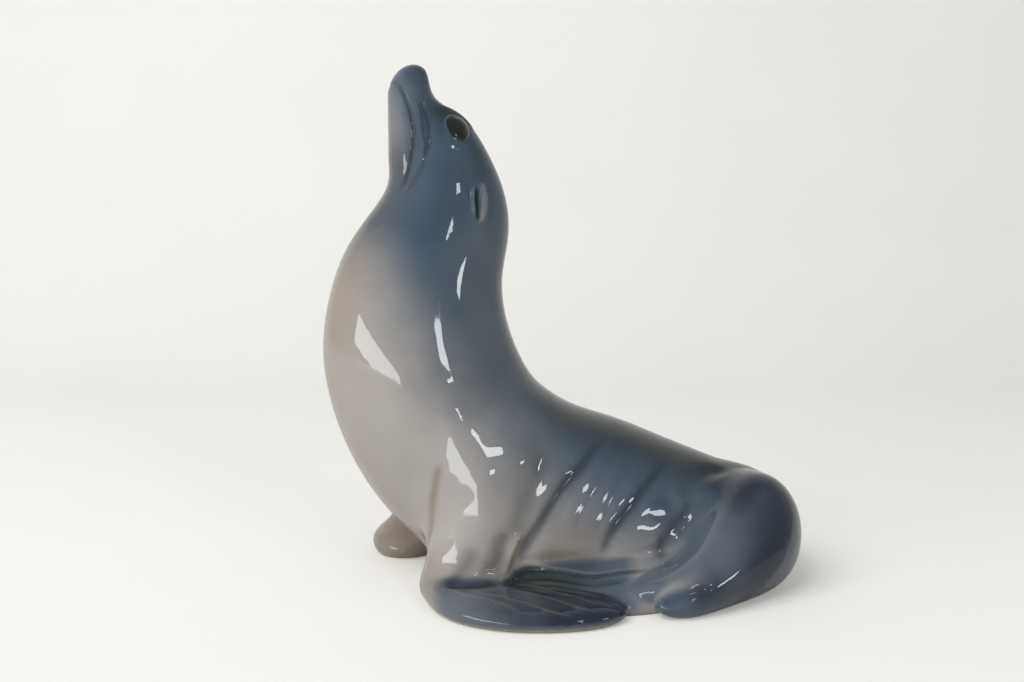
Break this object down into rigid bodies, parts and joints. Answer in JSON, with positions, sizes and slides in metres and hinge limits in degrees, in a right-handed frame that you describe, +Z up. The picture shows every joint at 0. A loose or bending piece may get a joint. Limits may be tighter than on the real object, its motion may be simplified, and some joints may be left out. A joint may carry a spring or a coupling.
{
  "type": "seal figurine",
  "caption": "Glazed porcelain figurine of a seal that sits up on its front flippers with its nose in the air and its hind flippers curled forward along its side.",
  "frame": {"origin": "under the middle of the figurine's bounding box, on the plane that its foot rests on", "axes": "+Z up towards the nose, +X from the chest towards the rump, -Y towards the side that the hind flippers curl along"},
  "size_m": [0.2808, 0.2242, 0.2982],
  "materials": {
    "glazed_porcelain": "glossy clear glaze over airbrushed blue-grey, navy and warm beige underglaze colours"
  },
  "bodies": {
    "root": {"seal": "glazed_porcelain"}
  },
  "joints": []
}
